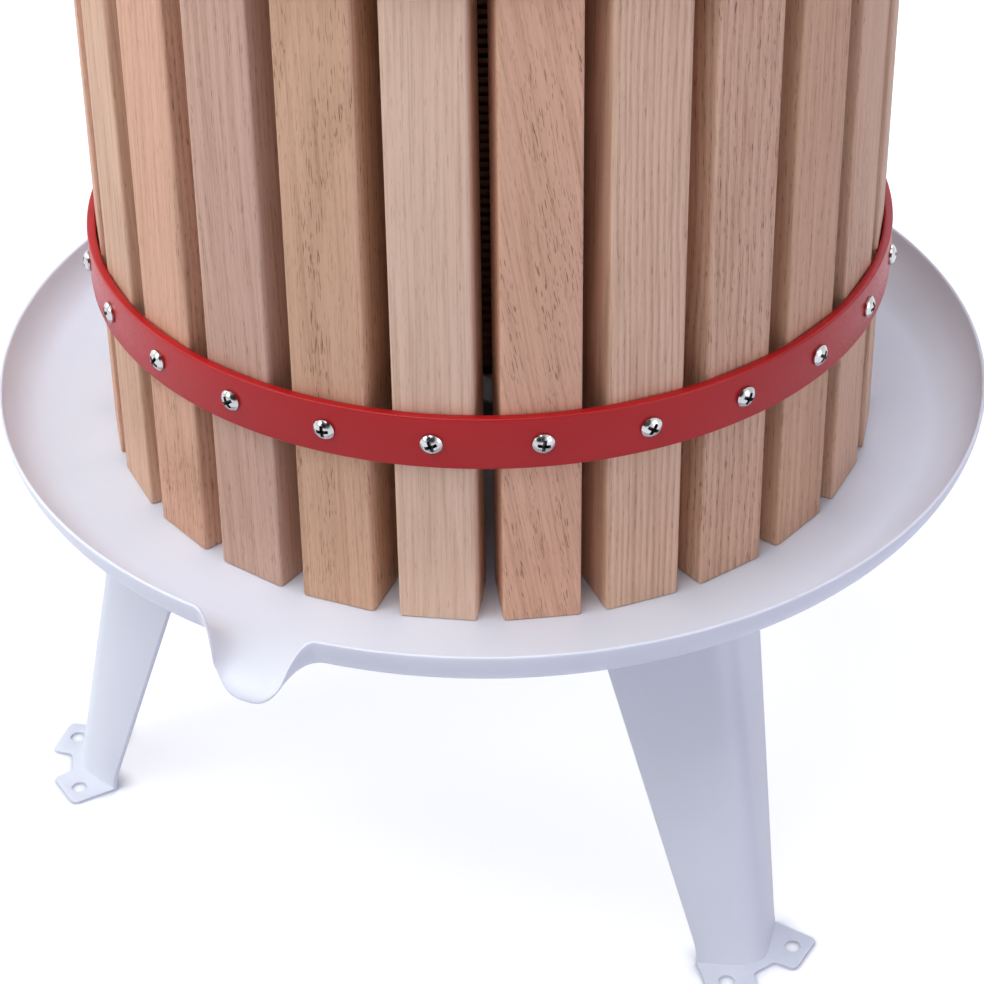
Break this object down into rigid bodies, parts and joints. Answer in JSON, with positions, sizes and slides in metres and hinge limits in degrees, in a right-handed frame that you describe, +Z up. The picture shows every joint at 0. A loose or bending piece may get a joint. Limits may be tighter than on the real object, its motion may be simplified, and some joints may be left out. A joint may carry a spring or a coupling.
{
  "type": "fruit press",
  "caption": "Hand fruit press: oak slat basket in red steel hoops, standing in a white pan with a pouring spout on folded legs, with a centre screw and a two-handled press head.",
  "frame": {"origin": "on the spindle's axis, at the level of the floor that the feet stand on", "axes": "+Z up along the spindle; the pouring spout points to -Y, within 2 degrees; +X to the right as seen from the spout"},
  "size_m": [0.474, 0.4005, 0.7672],
  "materials": {
    "white_enamel": "smooth semi-gloss powder coat",
    "red_enamel": "semi-gloss paint",
    "oak": "planed, oiled",
    "plated_steel": "bright zinc plate",
    "black_rubber": "matt",
    "black_plastic": "fine moulded texture"
  },
  "bodies": {
    "stand": {"pan": "white_enamel", "leg_left": "white_enamel", "leg_right": "white_enamel", "leg_rear": "white_enamel", "leg_bolts": "plated_steel", "leg_nuts": "plated_steel", "stiffener_plate": "white_enamel", "pan_seal": "black_rubber", "spindle": "plated_steel", "spindle_seat_nut": "plated_steel", "spindle_base_nut": "plated_steel"},
    "basket": {"slat_01": "oak", "slat_02": "oak", "slat_03": "oak", "slat_04": "oak", "slat_05": "oak", "slat_06": "oak", "slat_07": "oak", "slat_08": "oak", "slat_09": "oak", "slat_10": "oak", "slat_11": "oak", "slat_12": "oak", "slat_13": "oak", "slat_14": "oak", "slat_15": "oak", "slat_16": "oak", "slat_17": "oak", "slat_18": "oak", "slat_19": "oak", "slat_20": "oak", "slat_21": "oak", "slat_22": "oak", "slat_23": "oak", "slat_24": "oak", "slat_25": "oak", "lower_hoop": "red_enamel", "upper_hoop": "red_enamel", "lower_hoop_screws": "plated_steel", "upper_hoop_screws": "plated_steel"},
    "press_head": {"press_plate_left": "oak", "press_plate_right": "oak", "block_1a": "oak", "block_1b": "oak", "block_2a": "oak", "block_2b": "oak", "block_3a": "oak", "block_3b": "oak", "thrust_plate": "plated_steel"},
    "handle": {"press_nut": "red_enamel", "bar_left": "plated_steel", "bar_right": "plated_steel", "bar_jam_nuts": "plated_steel", "grip_left": "black_plastic", "grip_right": "black_plastic"}
  },
  "joints": [
    {"name": "press_travel", "type": "slide", "parent": "stand", "child": "press_head", "axis": [0, 0, 1], "range_m": [-0.08, 0.1]},
    {"name": "handle_turn", "type": "hinge", "parent": "press_head", "child": "handle", "pos_m": [0, 0, 0.6382], "axis": [0, 0, 1], "range_deg": [-7200, 9000]},
    {"name": "basket_lift", "type": "slide", "parent": "stand", "child": "basket", "axis": [0, 0, 1], "range_m": [0, 0.02]}
  ],
  "couplings": [
    {"joint": "press_travel", "follows": "handle_turn", "m_per_rad": 0.00063662}
  ]
}
